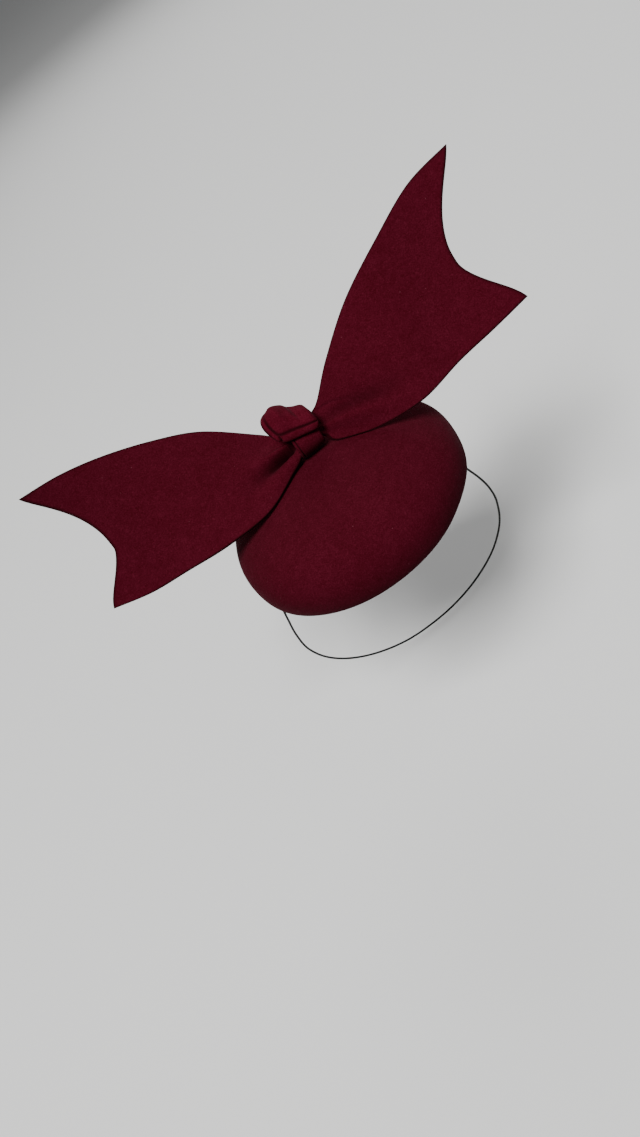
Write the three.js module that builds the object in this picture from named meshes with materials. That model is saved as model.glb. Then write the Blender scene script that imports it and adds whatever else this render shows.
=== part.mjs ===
// A felt percher hat (fascinator): a round blocked base with a turned-in edge, a swallow-tailed felt bow
// drawn through a knot on top of it, and a hat elastic that goes round the back of the head.
// Millimetres. +Z runs up through the crown, +X across the bow to the wearer's left, +Y to the back.
// The origin is the centre of the base's opening, where the hat sits on the head.
import * as THREE from 'three';
import { mergeVertices } from 'three/addons/utils/BufferGeometryUtils.js';

// ---- Driving dimensions ----
const FELT = 2.6;                                  // thickness of the base, the tails and the knot's strips
const BASE = { widest: 75.5, widestAt: 8.5, rim: 71, height: 41, fullness: 2.35, sides: 52 };
const KNOT = { x: 6, y: 20.5, z: 52.4, lean: 28 };   // middle of the bow's waist, and its slope to the back
const BAND = { front: 10.8, back: 6.4, halfDeep: 4.8, corner: 4.6, width: 17.4 };  // inside of the tight band
const ELASTIC = { diameter: 1.5, sides: 8, steps: 76 };
const COLOUR = { felt: 0x4a0b17, elastic: 0x0b0b0c };

const felt = (roughness) => new THREE.MeshStandardMaterial({ color: COLOUR.felt, roughness, metalness: 0 });
const elasticCord = new THREE.MeshStandardMaterial({ color: COLOUR.elastic, roughness: 0.6, metalness: 0 });

const fascinator = new THREE.Group();
function add(name, geometry, material) {
  const mesh = new THREE.Mesh(geometry, material);
  mesh.name = name;
  fascinator.add(mesh);
  return mesh;
}

// ---- Helpers for cut felt ----

// The smooth curve through a column of a table, read at a share from 0 to 1 of its rows.
function column(rows, index) {
  const curve = new THREE.SplineCurve(rows.map((row, i) => new THREE.Vector2(i, row[index])));
  return (share) => curve.getPoint(share).y;
}

// A closed felt sheet: surface(u, v) gives its middle, and each face lies half the thickness off it.
function feltSheet(surface, across, along, thickness) {
  const step = 1e-3;
  const faces = [[], []];
  for (let i = 0; i <= along; i += 1) {
    for (let j = 0; j <= across; j += 1) {
      const u = Math.min(Math.max(i / along, step), 1 - step);
      const v = Math.min(Math.max(j / across, step), 1 - step);
      const alongSheet = surface(u + step, v).sub(surface(u - step, v));
      const acrossSheet = surface(u, v + step).sub(surface(u, v - step));
      const normal = alongSheet.cross(acrossSheet).setLength(thickness / 2);
      const middle = surface(i / along, j / across);
      faces[0].push(middle.clone().add(normal));
      faces[1].push(middle.clone().sub(normal));
    }
  }
  const row = across + 1;
  const side = row * (along + 1);
  const triangles = [];
  const quad = (a, b, c, d) => triangles.push(a, b, c, a, c, d);
  for (let i = 0; i < along; i += 1) {
    for (let j = 0; j < across; j += 1) {
      const a = i * row + j;
      quad(a, a + row, a + row + 1, a + 1);
      quad(side + a, side + a + 1, side + a + row + 1, side + a + row);
    }
    const first = i * row;
    const last = first + across;
    quad(first, side + first, side + first + row, first + row);
    quad(last, last + row, side + last + row, side + last);
  }
  for (let j = 0; j < across; j += 1) {
    const end = along * row + j;
    quad(j, j + 1, side + j + 1, side + j);
    quad(end, side + end, side + end + 1, end + 1);
  }
  const geometry = new THREE.BufferGeometry();
  const points = faces.flat().flatMap((p) => [p.x, p.y, p.z]);
  geometry.setAttribute('position', new THREE.Float32BufferAttribute(points, 3));
  geometry.setIndex(triangles);
  return geometry;
}

// ---- Base: one blocked felt, hollow below, its edge turned in to a smaller opening ----

// Outer height and radius: a full rounded crown above the widest line, a quarter ellipse turned in below it.
function crownPoint(angle) {
  const power = 2 / BASE.fullness;
  const rise = BASE.height - BASE.widestAt;
  return new THREE.Vector2(
    BASE.widest * Math.cos(angle) ** power,
    BASE.widestAt + rise * Math.sin(angle) ** power,
  );
}
function turnedEdgePoint(angle) {
  return new THREE.Vector2(
    BASE.rim + (BASE.widest - BASE.rim) * Math.cos(angle),
    BASE.widestAt * (1 - Math.sin(angle)),
  );
}
const crownSteps = 12;
const edgeSteps = 5;
const outer = [];
for (let i = 0; i < crownSteps; i += 1) {
  // closer steps towards the widest line, where the crown turns
  outer.push(crownPoint((Math.PI / 2) * (1 - (i / crownSteps) ** 1.25)));
}
for (let i = 0; i <= edgeSteps; i += 1) {
  outer.push(turnedEdgePoint((Math.PI / 2) * (i / edgeSteps)));
}
outer[0].x = 0;
const inner = outer.map((point, i) => {
  if (i === 0) return new THREE.Vector2(0, point.y - FELT);
  const before = outer[i - 1];
  const after = outer[Math.min(i + 1, outer.length - 1)];
  const along = after.clone().sub(before).normalize();
  return new THREE.Vector2(point.x + along.y * FELT, point.y - along.x * FELT);
});
inner[inner.length - 1].y = 0;
const profile = [...inner, ...[...outer].reverse()];
const base = new THREE.LatheGeometry(profile, BASE.sides).rotateX(Math.PI / 2);
base.deleteAttribute('normal');
base.deleteAttribute('uv');
add('base', base, felt(0.95));

// ---- Bow: two felt tails, pleated together at the knot and cut to a swallow tail ----

// Each row is a section across the tail: its back edge, its front edge, the bow of the sheet between them
// and the depth of the pleat. The first section lies inside the knot's band, and the last joins the two tips.
// backX, backY, backZ, frontX, frontY, frontZ, camber, pleat
const LEFT_SECTIONS = [
  [5.6, 25.1, 54.9, 5.6, 12.2, 48, 0, 1.8],
  [-3, 25.4, 55, -2.6, 12.4, 47.6, 0, 2.2],
  [-7, 28.8, 56.2, -6, 7.6, 45.6, 0, 2.8],
  [-14.8, 35.7, 60.4, -12.4, 6, 44.2, 0, 3.6],
  [-39.4, 47.3, 80, -37, -5.5, 42.5, -1, 2],
  [-65, 52.3, 93.4, -67.1, -4.6, 42.6, -2, 0.4],
  [-92, 54.3, 105, -94.1, -2.3, 45.6, -2, 0],
  [-116.2, 52, 114, -117.5, -2.5, 50.2, -1, 0],
  [-138, 43, 122, -138.9, 1.2, 55.6, 0, 0],
];
const RIGHT_SECTIONS = [
  [6.6, 25.1, 54.9, 6.6, 12.2, 48, 0, 1.8],
  [15, 24.8, 54.8, 14.8, 12, 47.6, 0, 2.2],
  [18.8, 24.2, 55.9, 17.4, 5.8, 45.3, 0, 2.4],
  [25.6, 24, 59.8, 22.6, 1.3, 44.2, 1, 2.6],
  [43, 26, 75, 41.7, -10.4, 43, 2, 1.6],
  [70.8, 33.6, 91, 68, -17.7, 43.2, 1, 0.4],
  [103, 34.9, 106.5, 96.6, -15.7, 46, -1, 0],
  [132.5, 37.7, 117, 119.9, -20.3, 51, -1, 0],
  [158, 32.8, 122, 140.2, -24.4, 56, 0, 0],
];
// The end cut: how far the notch reaches back, where it lies between the front edge (0) and the
// back edge (1), how hollow each side of it is, and how round its corner.
const LEFT_END = { notch: 0.1225, at: 0.4, front: 1.25, back: 2, round: 0.03 };
const RIGHT_END = { notch: 0.1225, at: 0.467, front: 1.45, back: 1.82, round: 0.03 };

// A pleat is a valley with a ridge on each side; it starts in the middle and runs towards the front edge.
const PLEAT = { start: 0.5, drift: 0.5, width: 0.12, ridge: 0.22 };
const hump = (distance) => Math.exp(-((distance / PLEAT.width) ** 2));

function tailSurface(sections, end) {
  const at = sections[0].map((_, index) => column(sections, index));
  return (u, v) => {
    const side = v > end.at
      ? ((v - end.at) / (1 - end.at)) ** end.back
      : ((end.at - v) / end.at) ** end.front;
    const rounded = Math.hypot(side, end.round) - end.round * (1 - side);
    const share = u * (1 - end.notch * (1 - rounded));
    const back = new THREE.Vector3(at[0](share), at[1](share), at[2](share));
    const front = new THREE.Vector3(at[3](share), at[4](share), at[5](share));
    const chord = back.clone().sub(front);
    const up = new THREE.Vector3(0, -chord.z, chord.y).normalize();
    const valley = PLEAT.start - PLEAT.drift * share;
    const ridges = hump(v - valley - PLEAT.ridge) + hump(v - valley + PLEAT.ridge);
    const fold = 0.5 * ridges - hump(v - valley);
    const lift = at[6](share) * 4 * v * (1 - v) + at[7](share) * fold;
    return front.add(chord.multiplyScalar(v)).add(up.multiplyScalar(lift));
  };
}
add('tail_left', feltSheet(tailSurface(LEFT_SECTIONS, LEFT_END), 14, 32, FELT), felt(0.95));
add('tail_right', feltSheet(tailSurface(RIGHT_SECTIONS, RIGHT_END), 14, 32, FELT), felt(0.95));

// ---- Knot: a tight band round the bow's waist, and a loose strip folded over its back half ----

// All of it is drawn on the slope of the waist: along runs up the slope to the back, off away from the waist.
const knotPlace = new THREE.Matrix4()
  .makeTranslation(KNOT.x, KNOT.y, KNOT.z)
  .multiply(new THREE.Matrix4().makeRotationX(THREE.MathUtils.degToRad(KNOT.lean)));

function bandOutline(ShapeClass, grow) {
  const outline = new ShapeClass();
  const radius = BAND.corner + grow;
  const [front, back, deep] = [BAND.front, BAND.back, BAND.halfDeep].map((half) => half - BAND.corner);
  outline.absarc(back, deep, radius, 0, Math.PI / 2);
  outline.absarc(-front, deep, radius, Math.PI / 2, Math.PI);
  outline.absarc(-front, -deep, radius, Math.PI, 1.5 * Math.PI);
  outline.absarc(back, -deep, radius, 1.5 * Math.PI, 2 * Math.PI);
  return outline;
}
const bandShape = bandOutline(THREE.Shape, FELT);
bandShape.holes.push(bandOutline(THREE.Path, 0));
const bandSettings = { depth: BAND.width, bevelEnabled: false, curveSegments: 5 };
const band = new THREE.ExtrudeGeometry(bandShape, bandSettings)
  .translate(0, 0, -BAND.width / 2)
  .applyMatrix4(new THREE.Matrix4().set(0, 0, 1, 0, 1, 0, 0, 0, 0, 1, 0, 0, 0, 0, 0, 1))
  .applyMatrix4(knotPlace);
add('knot_band', band, felt(0.95));

// The loose strip from its end tucked inside, round the fold that shows as the lip, over the back of the band
// and under it. askew is how far it runs askew per millimetre across, loose its share of the fullness below,
// and left and right are where its borders lie.
// along, off, askew, loose, left, right
const WRAP_PATH = [
  [5.2, 9.2, 0.32, 0, -11, 10.6],
  [1.2, 9.2, 0.32, 0, -11, 10.6],
  [-2.8, 9.2, 0.32, 0, -11.2, 10.8],
  [-6.5, 10.3, 0.32, 0, -11.6, 11],
  [-4.6, 12.5, 0.31, 0.1, -14.6, 11.3],
  [0.2, 13, 0.27, 0.5, -15.9, 11.2],
  [4.7, 12.2, 0.2, 0.85, -14.3, 11],
  [8.6, 9.6, 0.12, 1, -13, 10.8],
  [10.9, 5.9, 0.06, 1, -12.4, 10.8],
  [12, 1.2, 0, 0.8, -11.4, 10.4],
  [11.2, -2.8, 0, 0.4, -9.8, 9.8],
];
// How much fuller than the path the strip is, from its left border to its right, and which way it puffs out.
const WRAP_FULLNESS = [[4.8], [7.5], [8.2], [7.8], [6.6], [4.2], [1], [0.2], [-2.4]];
const PUFF = { along: 0.86, off: 0.5 };
const fullness = column(WRAP_FULLNESS, 0);
const path = WRAP_PATH[0].map((_, index) => column(WRAP_PATH, index));
function wrapSurface(u, v) {
  const x = THREE.MathUtils.lerp(path[5](u), path[4](u), v);
  const full = fullness(1 - v) * path[3](u);
  const along = path[0](u) - path[2](u) * x + PUFF.along * full;
  return new THREE.Vector3(x, along, path[1](u) + PUFF.off * full).applyMatrix4(knotPlace);
}
add('knot_wrap', feltSheet(wrapSurface, 12, 28, FELT), felt(0.95));

// ---- Elastic: a round cord sewn inside both sides of the base, that goes round the back of the head ----

// Its route from the wearer's left round to the right.
const ELASTIC_ROUTE = [
  [70.6, 7.8, 8],
  [69.6, 8.6, 4],
  [67.2, 9.4, -1],
  [68.2, 10.6, -10],
  [71.4, 13, -27],
  [75.2, 15, -44],
  [79.8, 16, -60],
  [82.2, 17, -74],
  [82, 19, -90],
  [76.5, 23, -112],
  [63, 28, -134],
  [43, 32.5, -151],
  [20, 35, -160.5],
  [-4, 36, -163],
  [-28, 35, -158.5],
  [-50, 32.5, -146],
  [-67, 28.5, -128],
  [-78, 24, -107],
  [-82.5, 20, -85],
  [-81, 17, -65],
  [-77, 15, -47],
  [-72, 12.5, -27],
  [-68.4, 10.4, -10],
  [-67.2, 9.4, -1],
  [-69.6, 8.6, 4],
  [-70.6, 7.8, 8],
];
const route = new THREE.CatmullRomCurve3(ELASTIC_ROUTE.map((point) => new THREE.Vector3(...point)));
const section = new THREE.Shape();
for (let i = 0; i < ELASTIC.sides; i += 1) {
  const angle = (2 * Math.PI * i) / ELASTIC.sides;
  const [x, y] = [Math.cos(angle), Math.sin(angle)].map((value) => (value * ELASTIC.diameter) / 2);
  if (i === 0) section.moveTo(x, y);
  else section.lineTo(x, y);
}
section.closePath();
const elasticSettings = { steps: ELASTIC.steps, extrudePath: route, bevelEnabled: false };
const elastic = new THREE.ExtrudeGeometry(section, elasticSettings);
add('elastic', elastic, elasticCord);

// Every piece as one closed surface of shared corners.
fascinator.traverse((piece) => {
  if (!piece.isMesh) return;
  const geometry = piece.geometry;
  geometry.deleteAttribute('normal');
  geometry.deleteAttribute('uv');
  piece.geometry = mergeVertices(geometry, 1e-4);
});

export default fascinator;
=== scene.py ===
"""A felt percher hat: a round blocked base, a swallow-tailed bow knotted on it, and a hat elastic.

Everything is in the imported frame's axes: +Z up through the crown, +X across the bow to the
wearer's left, +Y to the back, from the centre of the opening. Shapes are worked out in
millimetres, and skin() makes metres.
"""
import math

import bmesh
import bpy
import numpy as np
from mathutils import Matrix


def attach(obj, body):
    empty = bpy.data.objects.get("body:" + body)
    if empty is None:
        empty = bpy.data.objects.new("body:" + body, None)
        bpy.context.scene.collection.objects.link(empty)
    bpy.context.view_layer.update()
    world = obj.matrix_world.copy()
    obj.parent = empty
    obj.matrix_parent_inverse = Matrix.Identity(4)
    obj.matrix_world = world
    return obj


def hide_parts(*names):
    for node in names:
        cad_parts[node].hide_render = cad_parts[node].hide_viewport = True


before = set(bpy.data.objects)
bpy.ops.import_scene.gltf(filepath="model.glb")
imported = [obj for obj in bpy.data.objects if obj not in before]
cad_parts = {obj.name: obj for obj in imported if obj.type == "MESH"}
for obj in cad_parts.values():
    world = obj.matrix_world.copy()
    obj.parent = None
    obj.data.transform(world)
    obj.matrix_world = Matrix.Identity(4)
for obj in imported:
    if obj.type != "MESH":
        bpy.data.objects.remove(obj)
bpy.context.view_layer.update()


# ---- Viewpoint ----
# The hat is looked down on from in front. It stands level in its own frame, so the camera leans
# instead, as far as the hat does when it is worn on one side of the head.
viewpoint = bpy.data.objects.new("viewpoint", bpy.data.cameras.new("viewpoint"))
bpy.context.collection.objects.link(viewpoint)
bpy.context.scene.camera = viewpoint
viewpoint.data.lens = 25.33
viewpoint.data.sensor_width = 36
viewpoint.data.clip_start = 0.01
viewpoint.data.clip_end = 60
viewpoint.matrix_world = (
    Matrix.Translation((-0.0112, -0.3789, 0.3003))
    @ Matrix.Rotation(math.radians(4), 4, "Z")
    @ Matrix.Rotation(math.radians(50), 4, "X")
    @ Matrix.Rotation(math.radians(-42.2), 4, "Z")
)


# ---- Base ----
# The hat's body is one hood of wool felt, steamed over a round block into a full low dome. Its
# edge is turned in under the widest line, so the opening is a little smaller, and it is hollow
# with the bare felt inside.
class Wire:
    """An output socket of a material's node, used in Python expressions as its value."""

    def __init__(self, tree, socket=None):
        self.tree, self.socket = tree, socket

    def node(self, kind, settings, sockets, out=0):
        """Adds a node: its settings are set first, and then its sockets, by name or number."""
        made = self.tree.nodes.new("ShaderNode" + kind)
        for key, value in settings.items():
            if key == "stops":
                ramp = made.color_ramp.elements
                while len(ramp) < len(value):
                    ramp.new(0.5)
                for stop, (at, colour) in zip(ramp, value):
                    stop.position, stop.color = at, (*colour, 1)
            else:
                setattr(made, key, value)
        for key, value in sockets.items():
            if isinstance(value, Wire):
                self.tree.links.new(value.socket, made.inputs[key])
            else:
                made.inputs[key].default_value = value
        return Wire(self.tree, made.outputs[out] if made.outputs else None)

    def maths(self, operation, first, second):
        """A Math node on two values, either of which may be a number."""
        return self.node("Math", {"operation": operation}, {0: first, 1: second})

    def __add__(self, other):
        return self.maths("ADD", self, other)

    def __rsub__(self, other):
        return self.maths("SUBTRACT", other, self)

    def __mul__(self, other):
        return self.maths("MULTIPLY", self, other)

    def __lt__(self, other):
        return self.maths("LESS_THAN", self, other)

    __radd__, __rmul__ = __add__, __mul__


def wool_felt(name, shade=1.0):
    """Burgundy wool felt: tangled lighter and darker fibres, clouding from the dye, and pale lint.

    The fibres are a strongly distorted noise under a millimetre across, and a second, finer noise
    is the nap's grain. Both lie in the colour, and in the bump, and the grain in the roughness. A
    wider mottle and the dye's slow cloud change the colour alone. shade scales all the colours,
    which makes lighter copies of the same felt. Where the mesh's crease mark is high, in deep
    folds and along cut edges, shade is painted in: the wool there is turned nearly black.
    """
    dark_wool, body_wool, light_wool = (
        tuple(part * shade for part in dye)
        for dye in ((0.030, 0.0001, 0.0010), (0.054, 0.0018, 0.0073), (0.094, 0.0068, 0.0180))
    )
    # the first colour is painted shade for deep folds, grooves and cut edges; the second is real
    # lint
    painted_shade, pale_lint = (0.012, 0.0004, 0.0014, 1), (0.24, 0.07, 0.10, 1)
    lint_scale, lint_size, lint_share = 800, 0.2, 0.005
    material = bpy.data.materials.new(name)
    material.use_nodes = True
    tree = material.node_tree
    tree.nodes.clear()
    start = Wire(tree)
    place = start.node("TexCoord", {}, {}, out=3)

    def noise(scale, detail, distortion):
        """Noise in the hat's own space: scale is in features to the metre, more or less."""
        octaves = {"Detail": detail, "Roughness": 0.62, "Distortion": distortion}
        return start.node("TexNoise", {}, {"Vector": place, "Scale": scale, **octaves})

    def blend(share, first, second):
        """The first colour, and the second where share is 1."""
        colours = {"Factor": share, "A": first, "B": second}
        return start.node("Mix", {"data_type": "RGBA"}, colours, out=2)

    tangle = noise(640, 5, 2.2)
    grain = noise(1500, 3, 0.6)
    mottle = noise(170, 3, 0.4)
    cloud = noise(16, 2, 0.3)
    crease = start.node("Attribute", {"attribute_name": "crease"}, {}, out=2)
    wool = tangle * 0.54 + grain * 0.32 + mottle * 0.11 + cloud * 0.1
    stops = [(0.35, dark_wool), (0.53, body_wool), (0.72, light_wool)]
    colour = start.node("ValToRGB", {"stops": stops}, {"Fac": wool})
    cells = start.node("TexVoronoi", {"feature": "F1"}, {"Vector": place, "Scale": lint_scale})
    tints = Wire(tree, cells.socket.node.outputs["Color"])
    drawn = start.node("SeparateColor", {}, {"Color": tints})
    lint = (cells < lint_size) * (1 - drawn < lint_share)
    bump = start.node(
        "Bump", {}, {"Height": tangle * 0.7 + grain * 0.45, "Strength": 0.55, "Distance": 0.0005}
    )
    shader = start.node("BsdfPrincipled", {}, {
        # painted shade: the crease mark darkens the wool nearly to black in folds and on cut edges
        "Base Color": blend(lint * 0.4, blend(crease * 0.8, colour, painted_shade), pale_lint),
        "Roughness": 0.86 + 0.12 * grain,
        "Normal": bump,
    })
    surface = shader.socket.node.inputs
    surface["Specular IOR Level"].default_value = 0.05
    surface["Sheen Weight"].default_value = 0.025
    surface["Sheen Roughness"].default_value = 0.42
    surface["Sheen Tint"].default_value = (1.0, 0.42, 0.5, 1)
    start.node("OutputMaterial", {}, {"Surface": shader})
    return material


millimetre = 0.001


def skin(name, points, material, crease=None):
    """A smooth mesh over a grid of points in millimetres, with a face on each square of the grid.

    The last column joins the first. Points within 2 thousandths of a millimetre are merged, so
    poles and rounded edges close. crease is how deep in a fold or near a cut each point lies,
    from 0 to 1, which the felt reads as an attribute and paints as shade.
    """
    merged = 2e-6
    rows, columns = points.shape[:2]
    row = np.arange(rows - 1)[:, None] * columns
    column = np.arange(columns)[None, :]
    beside = (column + 1) % columns
    below = row + columns
    squares = np.stack([row + column, row + beside, below + beside, below + column], -1)
    corners = (points.reshape(-1, 3) * millimetre).tolist()
    mesh = bpy.data.meshes.new(name)
    mesh.from_pydata(corners, [], squares.reshape(-1, 4).tolist())
    mark = mesh.attributes.new("crease", "FLOAT", "POINT")
    depth = np.zeros(rows * columns) if crease is None else np.clip(crease, 0, 1).ravel()
    mark.data.foreach_set("value", depth.astype(np.float32))
    shell = bmesh.new()
    shell.from_mesh(mesh)
    bmesh.ops.remove_doubles(shell, verts=shell.verts, dist=merged)
    bmesh.ops.recalc_face_normals(shell, faces=shell.faces)
    shell.to_mesh(mesh)
    shell.free()
    mesh.shade_smooth()
    mesh.materials.append(material)
    piece = bpy.data.objects.new(name, mesh)
    bpy.context.collection.objects.link(piece)
    return piece


def blocked_felt():
    """The base as a profile turned about Z.

    Above the widest line the profile is a superellipse of power 2.35: the radius and the height
    are the cosine and the sine of one angle, to the power 2 / 2.35. A quarter ellipse turns in
    below it. The inside is the same line moved in by the felt's thickness, and a half circle
    joins the two at the rim. The edge isn't quite round: a table gives how far out it lies every
    15 degrees from +X towards +Y, which a Fourier series makes smooth and which fades towards
    the crown with the radius squared. A few low waves are left by the block.
    """
    widest, widest_at, rim, height, power, felt = 75.5, 8.5, 71.0, 41.0, 2 / 2.35, 2.5
    out_of_round = [
        1.2, 1.3, 0.8, 0.3, 0, 0, 0, 0, 0, -0.2, -0.6, -1.2,
        -1.0, 0, 1.3, 1.8, 1.2, 0.4, 0.1, 0.1, -0.1, -0.1, 0.5, 0.5,
    ]
    over = np.linspace(math.pi / 2, 0, 90)
    under = np.linspace(0, math.pi / 2, 30)[1:]
    crown_reach = widest * np.cos(over) ** power
    crown_level = widest_at + (height - widest_at) * np.sin(over) ** power
    reach = np.concatenate([crown_reach, rim + (widest - rim) * np.cos(under)])
    level = np.concatenate([crown_level, widest_at * (1 - np.sin(under))])
    reach[0] = 0
    slope = np.stack([np.gradient(reach), np.gradient(level)], 1)
    slope /= np.linalg.norm(slope, axis=1)[:, None]
    outward = np.stack([-slope[:, 1], slope[:, 0]], 1)
    outer = np.stack([reach, level], 1)
    inner = outer - felt * outward
    inner[0] = (0, height - felt)
    turn = np.linspace(0, math.pi, 14)[1:-1, None]
    half, last_out, last_on = felt / 2, outward[-1], slope[-1]
    lip = outer[-1] - half * last_out + half * (np.cos(turn) * last_out + np.sin(turn) * last_on)
    line = np.concatenate([outer, lip, inner[::-1]])
    columns = 300
    round_ = np.linspace(0, 2 * math.pi, columns, endpoint=False)[None, :]
    radius, z = line[:, :1], line[:, 1:]
    edge = np.fft.irfft(np.fft.rfft(out_of_round), columns) * columns / len(out_of_round)
    waves = 0.13 * np.sin(5 * round_ + radius / 19) + 0.1 * np.sin(9 * round_)
    spread = radius + edge * (radius / widest) ** 2 + waves * radius / widest
    dip = 0.25 * np.sin(3 * round_ + 1) * radius * (z / 1600)
    return np.stack([spread * np.cos(round_), spread * np.sin(round_), z + dip], -1)


base_felt = wool_felt("base_felt")
dome = skin("dome", blocked_felt(), base_felt)
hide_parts("base")
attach(dome, "root")


# ---- Bow ----
# Two tails of the same felt, each a sheet cut to a swallow tail and pleated where the knot grips
# it. They stand up from the dome at the back and skim it in front, where their edges shade it.
def through(rows, share):
    """The smooth Catmull-Rom curve through a table's rows, read at shares from 0 to 1 of it."""
    rows = np.asarray(rows, float)
    last = len(rows) - 1
    at = np.clip(share, 0, 1) * last
    low = np.minimum(at.astype(int), last - 1)
    t = (at - low)[..., None]
    before, first, second, after = (rows[np.clip(low + k, 0, last)] for k in (-1, 0, 1, 2))
    leave, arrive = (second - before) / 2, (after - first) / 2
    return (
        (2 * first - 2 * second + leave + arrive) * t**3
        + (3 * second - 3 * first - 2 * leave - arrive) * t**2
        + leave * t
        + first
    )


def stepped(count, border, fine=6):
    """Shares from 0 to 1 in even steps, with fine steps of a quarter turn inside each border."""
    edge = border * (1 - np.cos(np.linspace(0, math.pi / 2, fine)))
    return np.concatenate([edge, np.linspace(border, 1 - border, count)[1:-1], 1 - edge[::-1]])


def facing(grid):
    """The unit normals of a grid of points, from the cross product of its two directions."""
    normal = np.cross(np.gradient(grid, axis=0), np.gradient(grid, axis=1))
    return normal / np.linalg.norm(normal, axis=2)[..., None]


def felt_sheet(name, middle, out, material, thickness=2.3, rounding=0.35, relief=0, crease=0):
    """A closed sheet of felt about a grid of middle points, with its cut edges rounded.

    Half the thickness is laid off each side along out. Within the rounding of a border it falls
    to nothing as a quarter circle does, and there the two faces meet. relief is added to the
    face that shows. The crease mark paints shade on the cut edge, which lies in shadow: it is
    full in the outer half millimetre and fades out in the next millimetre.
    """
    mark_at_edge, mark_fades = 1.4, 0.9
    inset = []
    for axis in (0, 1):
        step = np.linalg.norm(np.gradient(middle, axis=axis), axis=2)
        travelled = np.cumsum(step, axis)
        travelled -= travelled.take([0], axis)
        inset.append(np.minimum(travelled, travelled.take([-1], axis) - travelled))
    rounded = [np.sqrt(np.clip(1 - (1 - np.clip(d / rounding, 0, 1)) ** 2, 0, 1)) for d in inset]
    full = (rounded[0] * rounded[1])[..., None]
    relief = np.broadcast_to(relief, middle.shape[:2])
    shown = middle + (thickness / 2 + relief)[..., None] * full * out
    hidden = middle - thickness / 2 * full * out
    # painted shade along the cut edges, which stand in shadow, together with any fold shade passed
    # in
    shade_marks = np.maximum(crease, np.clip(mark_at_edge - mark_fades * np.minimum(*inset), 0, 1))
    points = np.concatenate([shown, hidden[:, ::-1]], 1)
    return skin(name, points, material, crease=np.concatenate([shade_marks, shade_marks[:, ::-1]], 1))


def tail(sections, end, folds, sag):
    """A tail's middle surface, its normals without the folds, and the folds' depth for painted
    shade.

    Shares u run from the knot out and v from front to back. sections are the back and front
    edges, with the camber of the sheet between them. end is the swallow-tail cut: it shortens u
    by the notch's depth, less towards either tip, with a slightly blunt point in the notch. Each
    fold is a table of its middle in v, its spread to the front and to the back of that, and its
    height along u, and adds a bell curve. sag is a slow wave over the sheet, which fades to its
    edges as 4 v (1 - v) does. The pressed edges are spread 0.75 mm beyond the sections, and
    1.1 mm beyond the cut.
    """
    border_width, border_share, blunt = 0.5, 0.03, 0.03
    pressed, trimmed, cut_from, full_depth = 0.75, 1.1, 0.96, 4
    u = stepped(230, 0.006)[:, None]
    edges = through(sections, u[:, 0])
    across = np.linalg.norm(edges[:, :3] - edges[:, 3:6], axis=1)
    border = (border_width / across)[:, None]
    even = stepped(110, border_share)[None, :]
    v = border + (even - border_share) / (1 - 2 * border_share) * (1 - 2 * border)
    v = np.where(even < border_share, even / border_share * border, v)
    v = np.where(even > 1 - border_share, 1 - (1 - even) / border_share * border, v)
    back_side = (np.clip(v - end["at"], 0, 1) / (1 - end["at"])) ** end["back"]
    front_side = (np.clip(end["at"] - v, 0, 1) / end["at"]) ** end["front"]
    side = np.where(v > end["at"], back_side, front_side)
    share = u * (1 - end["notch"] * (1 - np.hypot(side, blunt) + blunt * (1 - side)))
    at = through(sections, share)
    back, front, camber = at[..., 0:3], at[..., 3:6], at[..., 6]
    chord = back - front
    up = np.stack([0 * camber, -chord[..., 2], chord[..., 1]], -1)
    up /= np.linalg.norm(up, axis=-1)[..., None]
    wide = v + (2 * v - 1) * pressed / across[:, None]
    crown = (camber + sag(share, v)) * 4 * v * (1 - v)
    plain = front + chord * wide[..., None] + up * crown[..., None]
    onward = np.gradient(plain, axis=0)
    onward /= np.linalg.norm(onward, axis=-1)[..., None]
    plain = plain + onward * trimmed * np.clip((u - cut_from) / (1 - cut_from), 0, 1)[..., None]
    lift, depth = 0, 0
    for fold in folds:
        table = np.array(fold).T
        centre, to_front, to_back, height = (np.interp(share, table[0], row) for row in table[1:])
        bell = np.exp(-(((v - centre) / np.where(v < centre, to_front, to_back)) ** 2))
        lift = lift + height * bell
        # the floor of each valley is marked for painted shade, darkest where the fold is deepest
        depth = depth + np.clip(-height / full_depth, 0, 1) * bell**2
    return plain + up * lift[..., None], facing(plain), depth


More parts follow.
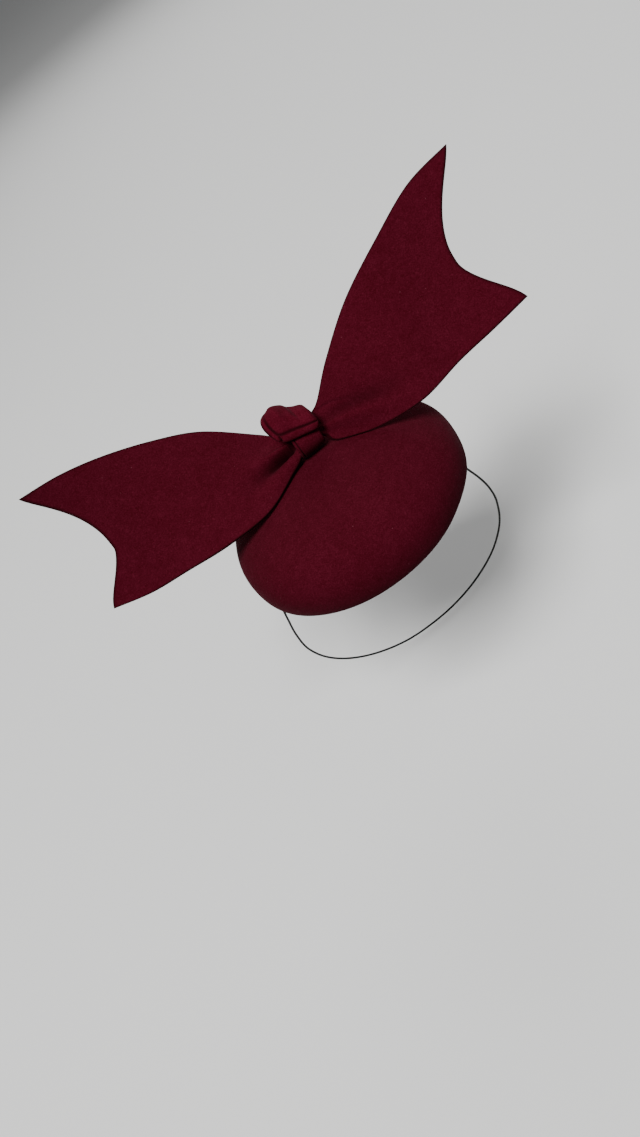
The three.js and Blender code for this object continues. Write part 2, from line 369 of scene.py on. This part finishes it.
bow_felt = wool_felt("bow_felt", shade=1.08)
left_sections = [  # backX, backY, backZ, frontX, frontY, frontZ, camber
    (5.6, 25.1, 54.9, 5.6, 12.2, 48, 0),
    (-3, 25.4, 55, -2.2, 11.4, 46.1, 0),
    (-7, 28.8, 56.2, -6.4, 10.3, 44.2, 0),
    (-14.8, 35.7, 60.4, -12.4, 8.8, 42.4, 0),
    (-39.4, 47.3, 80, -37.2, -2.6, 40.5, -1),
    (-65, 52.3, 93.4, -67.1, -4.6, 42.6, -2),
    (-92, 54.3, 105, -94.1, -2.3, 45.6, -2),
    (-116.2, 52, 114, -117.5, -2.5, 50.2, -1),
    (-138, 43, 122, -138.9, 1.2, 55.6, 0),
]
left_folds = [  # each row: share, middle, spread to the front and to the back, height
    # the deep groove that starts under the strap's corner
    [
        (0, 0.5, 0.12, 0.12, -1.6), (0.14, 0.42, 0.1, 0.12, -3), (0.2, 0.385, 0.07, 0.08, -6),
        (0.29, 0.375, 0.055, 0.066, -8), (0.355, 0.335, 0.05, 0.064, -8),
        (0.39, 0.32, 0.048, 0.066, -6.6), (0.415, 0.305, 0.048, 0.07, -4.6),
        (0.435, 0.3, 0.05, 0.08, -2.9), (0.455, 0.29, 0.06, 0.09, -1.6),
        (0.48, 0.28, 0.07, 0.1, -0.7), (0.53, 0.26, 0.09, 0.12, 0), (1, 0.26, 0.1, 0.1, 0),
    ],
    # the ridge in front of it, along the front edge
    [
        (0, 0.2, 0.12, 0.12, 0.8), (0.2, 0.16, 0.12, 0.12, 1.2), (0.33, 0.13, 0.12, 0.11, 2.1),
        (0.39, 0.11, 0.12, 0.1, 2.3), (0.435, 0.11, 0.12, 0.1, 1.8), (0.47, 0.12, 0.12, 0.1, 1.1),
        (0.51, 0.12, 0.12, 0.12, 0.4), (0.56, 0.12, 0.12, 0.12, 0), (1, 0.1, 0.1, 0.1, 0),
    ],
    # the broad ridge behind it
    [
        (0, 0.8, 0.14, 0.14, 0.8), (0.2, 0.56, 0.08, 0.12, 2.6), (0.3, 0.53, 0.075, 0.11, 3.2),
        (0.37, 0.49, 0.08, 0.11, 3), (0.41, 0.47, 0.09, 0.12, 2.3), (0.45, 0.46, 0.11, 0.14, 1.3),
        (0.5, 0.44, 0.12, 0.16, 0.5), (0.58, 0.4, 0.14, 0.16, 0), (1, 0.4, 0.1, 0.1, 0),
    ],
    # the faint line that parts the broad ridge in two
    [
        (0.16, 0.66, 0.03, 0.03, 0), (0.2, 0.64, 0.03, 0.03, -1), (0.27, 0.605, 0.032, 0.032, -1.3),
        (0.355, 0.56, 0.03, 0.03, -1.1), (0.395, 0.525, 0.03, 0.03, -0.6),
        (0.43, 0.5, 0.04, 0.04, 0), (1, 0.5, 0.1, 0.1, 0),
    ],
]
left_tail = tail(
    left_sections,
    {"notch": 0.1225, "at": 0.4, "front": 1.25, "back": 2},
    left_folds,
    lambda u, v: 1.2 * np.sin(3.1 * u + 2.2 * v + 0.4) * u**2 + 0.35 * np.sin(9 * u - 4 * v) * u,
)
right_sections = [
    (6.6, 25.1, 54.9, 6.6, 12.2, 48, 0),
    (15, 24.8, 54.8, 14.8, 12, 47.6, 0),
    (18.8, 24.2, 55.9, 17.6, 8.9, 43.3, 0),
    (25.6, 24, 59.8, 22.9, 5.1, 41.7, 1),
    (43, 26, 75, 42.4, -5.8, 39.8, 2),
    (70.8, 33.6, 91, 68, -17.7, 43.2, 1),
    (103, 34.9, 106.5, 96.6, -15.7, 46, -1),
    (132.5, 37.7, 117, 119.9, -20.3, 51, -1),
    (158, 32.8, 122, 140.2, -24.4, 56, 0),
]
right_folds = [
    # the soft hollow that runs out from the knot towards the front edge
    [
        (0, 0.5, 0.14, 0.14, -1.2), (0.2, 0.62, 0.14, 0.14, -1), (0.35, 0.56, 0.1, 0.12, -1.2),
        (0.427, 0.48, 0.1, 0.12, -1.6), (0.465, 0.43, 0.1, 0.12, -1.9),
        (0.505, 0.37, 0.1, 0.12, -2), (0.537, 0.31, 0.1, 0.13, -1.8),
        (0.565, 0.27, 0.1, 0.13, -1.3), (0.62, 0.24, 0.1, 0.14, -0.4), (0.68, 0.22, 0.1, 0.14, 0),
        (1, 0.2, 0.1, 0.1, 0),
    ],
    # the ridge in front of the hollow
    [
        (0, 0.2, 0.12, 0.12, 0.8), (0.2, 0.4, 0.14, 0.12, 1.4), (0.3, 0.42, 0.14, 0.11, 2),
        (0.395, 0.37, 0.14, 0.1, 2.2), (0.45, 0.3, 0.13, 0.1, 2), (0.498, 0.24, 0.12, 0.1, 1.5),
        (0.55, 0.18, 0.12, 0.1, 0.8), (0.62, 0.14, 0.12, 0.1, 0), (1, 0.1, 0.1, 0.1, 0),
    ],
    # the fine crease from the wrap's end
    [
        (0.2, 0.98, 0.04, 0.03, 0), (0.297, 0.94, 0.035, 0.025, -0.5),
        (0.385, 0.785, 0.035, 0.022, -0.7), (0.432, 0.645, 0.035, 0.022, -0.5),
        (0.465, 0.535, 0.035, 0.022, -0.3), (0.493, 0.45, 0.035, 0.022, 0), (1, 0.4, 0.1, 0.1, 0),
    ],
]
right_tail = tail(
    right_sections,
    {"notch": 0.1225, "at": 0.467, "front": 1.45, "back": 1.82},
    right_folds,
    lambda u, v: 1.1 * np.sin(3.4 * u - 2.0 * v + 2.1) * u**2 + 0.3 * np.sin(8 * u + 5 * v) * u,
)
for side, (middle, out, depth), flat, area in (
    ("left", left_tail, (0.085, 0.155), 0.0096),
    ("right", right_tail, (0.09, 0.165), 0.0089),
):
    piece = felt_sheet(f"bow_tail_{side}", middle, out, bow_felt, crease=depth)
    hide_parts(f"tail_{side}")
    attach(piece, "root")


# ---- Knot's band ----
# A strip of felt pulled tight round the bow's waist, so that the tails pleat. One border is folded
# to a narrow hem. Its front shows below the wrap as a short strap, which turns under between the
# bow and the dome.
waist = Matrix.Translation((6, 20.5, 52.4)) @ Matrix.Rotation(math.radians(28), 4, "X")


def on_waist(x, along, off):
    """Points from the knot's own directions (across, up its slope, off it) to the hat's."""
    local = np.stack(np.broadcast_arrays(x, along, off), -1)
    turn = np.array(waist.to_3x3())
    return local @ turn.T + np.array(waist.translation)


def rounded_loop(front, back, deep, corner, count):
    """A closed line round a rectangle with round corners, and its outward directions.

    A quarter circle is drawn about each corner's centre, and the whole line, with the straights
    between them, is read again at even steps.
    """
    fine = []
    for cx, cy, start in ((back, deep, 0), (-front, deep, 1), (-front, -deep, 2), (back, -deep, 3)):
        angle = (start + np.linspace(0, 1, 60)) * math.pi / 2
        fine.append(np.stack([cx + corner * np.cos(angle), cy + corner * np.sin(angle)], 1))
    fine = np.concatenate(fine + [fine[0][:1]])
    run = np.concatenate([[0], np.cumsum(np.linalg.norm(np.diff(fine, axis=0), axis=1))])
    even = np.linspace(0, run[-1], count, endpoint=False)
    line = np.stack([np.interp(even, run, fine[:, k]) for k in (0, 1)], 1)
    tangent = np.roll(line, -1, 0) - np.roll(line, 1, 0)
    tangent /= np.linalg.norm(tangent, axis=1)[:, None]
    return line, np.stack([tangent[:, 1], -tangent[:, 0]], 1)


def strap():
    """The band: the section of a flat strip with round borders, carried round the waist's loop.

    The face rises a little to the middle, with a groove where the hem ends, 1.8 mm in from one
    border. The strip is drawn in where it turns under in front and behind, and runs slightly
    askew down its front.
    """
    to_front, to_back, deep, corner, room = 10.8, 6.4, 4.8, 4.6, 1.2
    half, thick, hem, border = 8.6, 2.3, 1.8, 1.1
    rise, groove_depth, groove_width = 0.25, 0.8, 0.34
    askew_on_top, askew_in_front, narrowing, narrowest_at = 0.6, 0.08, 0.03, 14
    centres = [reach - corner for reach in (to_front, to_back, deep)]
    line, outward = rounded_loop(*centres, corner + room, 150)
    x = half * np.sin(np.linspace(-1, 1, 80) * math.pi / 2)
    past = np.clip(np.abs(x) - (half - border), 0, border) / border
    edge = np.sqrt(np.clip(1 - past**2, 0, 1))
    seam = np.exp(-(((x + half - hem) / groove_width) ** 2))
    top = (thick / 2 + rise * (1 - (x / half) ** 2)) * edge - groove_depth * seam
    across = np.concatenate([x, x[::-1]])[None, :]
    height = np.concatenate([top, (-thick / 2 * edge)[::-1]])[None, :]
    along, off = line[:, :1], line[:, 1:]
    askew = askew_on_top + askew_in_front * np.minimum(along, 0)
    drawn_in = 1 - narrowing * np.abs(along / narrowest_at)
    points = on_waist(
        across * drawn_in + askew,
        along + outward[:, :1] * height,
        off + outward[:, 1:] * height,
    )
    return points, np.concatenate([seam, 0 * x])[None, :] + 0 * along


knot_felt = wool_felt("knot_felt", shade=1.06)
band_points, band_groove = (np.concatenate([grid, grid[:1]]) for grid in strap())
# the hem's groove is painted as shade through the crease mark
band = skin("knot_strap", band_points, knot_felt, crease=band_groove)
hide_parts("knot_band")
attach(band, "root")


# ---- Knot's wrap ----
# A softer, wider strip folded over the back of the band. Its fold shows in front as a lip. A
# stitched-down line runs along its border and above the lip, and inside that it is puffed up,
# most on the larger side.
wrap_path = [  # along, off, askew, loose, left, right
    (5.2, 9.2, 0.32, 0, -11, 9.6),
    (1.2, 9.2, 0.32, 0, -11, 9.6),
    (-2.8, 9.2, 0.32, 0, -11.2, 9.6),
    (-6.5, 10.3, 0.32, 0, -11.6, 9.8),
    (-4.6, 12.5, 0.31, 0.1, -14.9, 11),
    (0.2, 13, 0.27, 0.5, -16.2, 11.3),
    (4.7, 12.2, 0.2, 0.85, -15.7, 11.2),
    (8.6, 9.6, 0.12, 1, -14.2, 10.8),
    (10.9, 5.9, 0.06, 1, -12.8, 10.6),
    (12, 1.2, 0, 0.8, -11.4, 10.4),
    (11.2, -2.8, 0, 0.4, -9.8, 9.8),
]
# how far the wrap is puffed out, from its left border to its right
wrap_fullness = [(5.4,), (7,), (7.2,), (7,), (5.6,), (3.2,), (0.6,), (-0.8,), (-3,)]


def wrap_sheet():
    """The wrap's middle surface, the relief on its outer face and each point's depth in a groove.

    A path in the plane of the waist, moved askew in step with x and puffed out by the fullness
    at that x, is carried between the left and right borders. The lip's corners are rounded back
    over 3.4 mm. The relief has a groove inside the left border, which turns a round corner and
    runs on above the lip: it lies where the soft minimum of the distances past both is nothing.
    Inside it the face swells, a bell-shaped lobe fills the larger puff, and a narrow bell's
    valley parts the two puffs. The right border drops away, and a short groove parts the lip's
    end from the corner beside it.
    """
    flange, lip_at, path_length, softness, corner_width = 3.7, 0.405, 44, 1.3, 3.4
    corner_back, groove_depth, groove_width, lip_end_at, lip_end_width = 1.9, 1.35, 0.62, 11.5, 0.5
    swell_height, swell_width, lobe_width, valley_width = 1.1, 3, 2.9, 1.9
    drop_depth, drop_width = 1.6, 2.6
    u = stepped(210, 0.012)[:, None]
    v = stepped(150, 0.05)[None, :]
    along, off, askew, loose, left, right = np.moveaxis(through(wrap_path, u + 0 * v), -1, 0)
    x = left + v * (right - left)
    left_corner = np.clip(1 - (x - left) / corner_width, 0, 1) ** 2
    right_corner = np.clip(1 - (right - x) / corner_width, 0, 1) ** 2
    along = along + corner_back * (left_corner + right_corner) * np.exp(-(((u - 0.3) / 0.1) ** 2))
    full = through(wrap_fullness, v + 0 * u)[..., 0] * loose
    middle = on_waist(x, along - askew * x + 0.86 * full, off + 0.5 * full)

    # the groove
    past_border = x - left - flange
    past_lip = path_length * (u - lip_at) + 0 * x
    inside = -np.log(np.exp(-softness * past_border) + np.exp(-softness * past_lip)) / softness
    seam = np.exp(-((inside / groove_width) ** 2)) * (1 - 0.6 * np.clip((u - 0.5) / 0.25, 0, 1))
    lip_end = np.exp(-(((x + lip_end_at) / lip_end_width) ** 2))
    lip_end = lip_end * (past_lip < 0) * np.clip((u - 0.3) / 0.03, 0, 1)
    groove = np.maximum(seam, lip_end)
    sunk = groove_depth * groove * np.interp(u, [0.56, 0.7], [1, 0.1])

    # the puffed face inside it
    swell = swell_height * (1 - np.exp(-((np.maximum(inside, 0) / swell_width) ** 2)))
    lobe = np.exp(-(((x + 6.5 - 4 * (0.8 - u)) / lobe_width) ** 2))
    lobe = lobe * np.interp(u, [0.43, 0.54, 0.66, 0.76], [0, 2.2, 1.2, 0])
    valley = np.exp(-(((x - 6.8 + 6.5 * u) / valley_width) ** 2))
    valley = valley * np.interp(u, [0.44, 0.56, 0.7, 0.85], [0, 1.7, 1.5, 0.3])
    shoulder = np.clip((x - right + drop_width) / drop_width, 0, 1)
    drop = drop_depth * shoulder**2 * (3 - 2 * shoulder) * (past_lip > -1)
    outer = np.clip((u - 0.27) / 0.05, 0, 1)
    return middle, outer * (swell + lobe - valley - drop - sunk), outer * groove


wrap_middle, wrap_relief, wrap_groove = (grid[:, ::-1] for grid in wrap_sheet())
wrap = felt_sheet(
    "knot_wrap_felt",
    wrap_middle,
    facing(wrap_middle),
    # painted light: the same felt, 1.3 times lighter, for the shine on the wrap's pressed, worn
    # face
    wool_felt("wrap_felt", shade=1.3),
    thickness=2.6,
    rounding=1.4,
    relief=wrap_relief,
    # the groove is painted as shade through the crease mark
    crease=wrap_groove,
)
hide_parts("knot_wrap")
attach(wrap, "root")


# ---- Elastic ----
# A thin black hat elastic, a rubber core in a braided sleeve. Both ends are sewn into the base's
# felt from inside, and it runs down behind the ears and round the back of the head, which holds
# it out where it lies.
elastic_route = np.array([
    (74.6, 7.3, 9.2), (69.6, 8.6, 4), (67.2, 9.4, -1), (68.2, 10.6, -10), (71.4, 13, -27),
    (75.2, 15, -44), (79.8, 16, -60), (82.2, 17, -74), (82, 19, -90), (76.5, 23, -112),
    (63, 28, -134), (43, 32.5, -151), (20, 35, -160.5), (-4, 36, -163), (-28, 35, -158.5),
    (-50, 32.5, -146), (-67, 28.5, -128), (-78, 24, -107), (-82.5, 20, -85), (-81, 17, -65),
    (-77, 15, -47), (-72, 12.5, -27), (-68.4, 10.4, -10), (-67.2, 9.4, -1), (-69.6, 8.6, 4),
    (-72.4, 7.3, 9.2),
])


def braided(line, diameter, pitch):
    """A tube along a line of points, ribbed as a braid is.

    The section's two directions are both square to the line, and one of them to +Y as well. The
    radius rises by 6% on the crossings of two sets of spirals, one turning each way, of the
    given pitch.
    """
    tangent = np.gradient(line, axis=0)
    tangent /= np.linalg.norm(tangent, axis=1)[:, None]
    side = np.cross(tangent, (0, 1, 0))
    side /= np.linalg.norm(side, axis=1)[:, None]
    other = np.cross(tangent, side)
    run = np.concatenate([[0], np.cumsum(np.linalg.norm(np.diff(line, axis=0), axis=1))])[:, None]
    angle = np.linspace(0, 2 * math.pi, 16, endpoint=False)[None, :]
    turns = 2 * math.pi * run / pitch
    rib = np.abs(np.sin(2 * angle + turns) * np.sin(2 * angle - turns))
    radius = (diameter / 2 * (0.94 + 0.06 * rib))[..., None]
    round_ = np.cos(angle)[..., None] * side[:, None] + np.sin(angle)[..., None] * other[:, None]
    tube = line[:, None] + radius * round_
    ends = [np.broadcast_to(line[k], tube[:1].shape) for k in (0, -1)]
    return np.concatenate([ends[0], tube, ends[1]])


def braided_elastic(name):
    """Black braided elastic: near-black thread with lighter crowns, and a slight rayon gloss."""
    material = bpy.data.materials.new(name)
    material.use_nodes = True
    material.node_tree.nodes.clear()
    start = Wire(material.node_tree)
    place = start.node("TexCoord", {}, {}, out=3)
    thread = start.node("TexNoise", {}, {"Vector": place, "Scale": 2600, "Detail": 3})
    stops = [(0.35, (0.003, 0.003, 0.003)), (0.7, (0.012, 0.012, 0.013))]
    colour = start.node("ValToRGB", {"stops": stops}, {"Fac": thread})
    bump = start.node("Bump", {}, {"Height": thread, "Strength": 0.5, "Distance": 0.0002})
    finish = {"Base Color": colour, "Roughness": 0.5 + 0.2 * thread, "Normal": bump}
    shader = start.node("BsdfPrincipled", {}, finish)
    shader.socket.node.inputs["Specular IOR Level"].default_value = 0.2
    start.node("OutputMaterial", {}, {"Surface": shader})
    return material


elastic_across, braid_pitch = 1.5, 3.0
elastic_line = through(elastic_route, np.linspace(0, 1, 900))
braid = braided(elastic_line, elastic_across, braid_pitch)
elastic = skin("hat_elastic", braid, braided_elastic("black_elastic"))
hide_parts("elastic")
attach(elastic, "root")
(elastic_line[::4] * millimetre).tolist()


# ---- Room ----
# A pale floor just below the elastic, and two large soft lights with a little light all round. The
# main light is high in front on the wearer's right, and a weaker one is high behind. The floor
# gives the felt no light back, so the base's turned-in edge stays dark.
def lamp(name, place, size, power):
    """A square area light at a place, turned to face a point just above the base's opening."""
    light = bpy.data.lights.new(name, "AREA")
    light.size, light.energy = size, power
    holder = bpy.data.objects.new(name, light)
    bpy.context.collection.objects.link(holder)
    holder.location = place
    x, y, z = np.array(place) - (0, 0, 0.02)
    holder.rotation_euler = (math.atan2(math.hypot(x, y), z), 0, math.atan2(x, -y))


lamp("main_light", (-0.86, -1.8, 3.8), size=1.6, power=232)
lamp("back_light", (1.2, 3, 2.6), size=2.4, power=62)

world = bpy.data.worlds.new("room")
bpy.context.scene.world = world
world.use_nodes = True
sky = world.node_tree.nodes["Background"].inputs
sky["Color"].default_value = (0.80, 0.81, 0.82, 1)
sky["Strength"].default_value = 0.22

floor_reach, floor_level = 30, -0.185
signs = ((-1, -1), (1, -1), (1, 1), (-1, 1))
corners = [(x * floor_reach, y * floor_reach, floor_level) for x, y in signs]
floor_mesh = bpy.data.meshes.new("floor")
floor_mesh.from_pydata(corners, [], [(0, 1, 2, 3)])
floor = bpy.data.objects.new("floor", floor_mesh)
bpy.context.collection.objects.link(floor)
floor.visible_diffuse = False
paint = bpy.data.materials.new("pale_floor")
paint.use_nodes = True
finish = paint.node_tree.nodes["Principled BSDF"].inputs
finish["Base Color"].default_value = (0.82, 0.82, 0.81, 1)
finish["Roughness"].default_value = 0.8
floor_mesh.materials.append(paint)
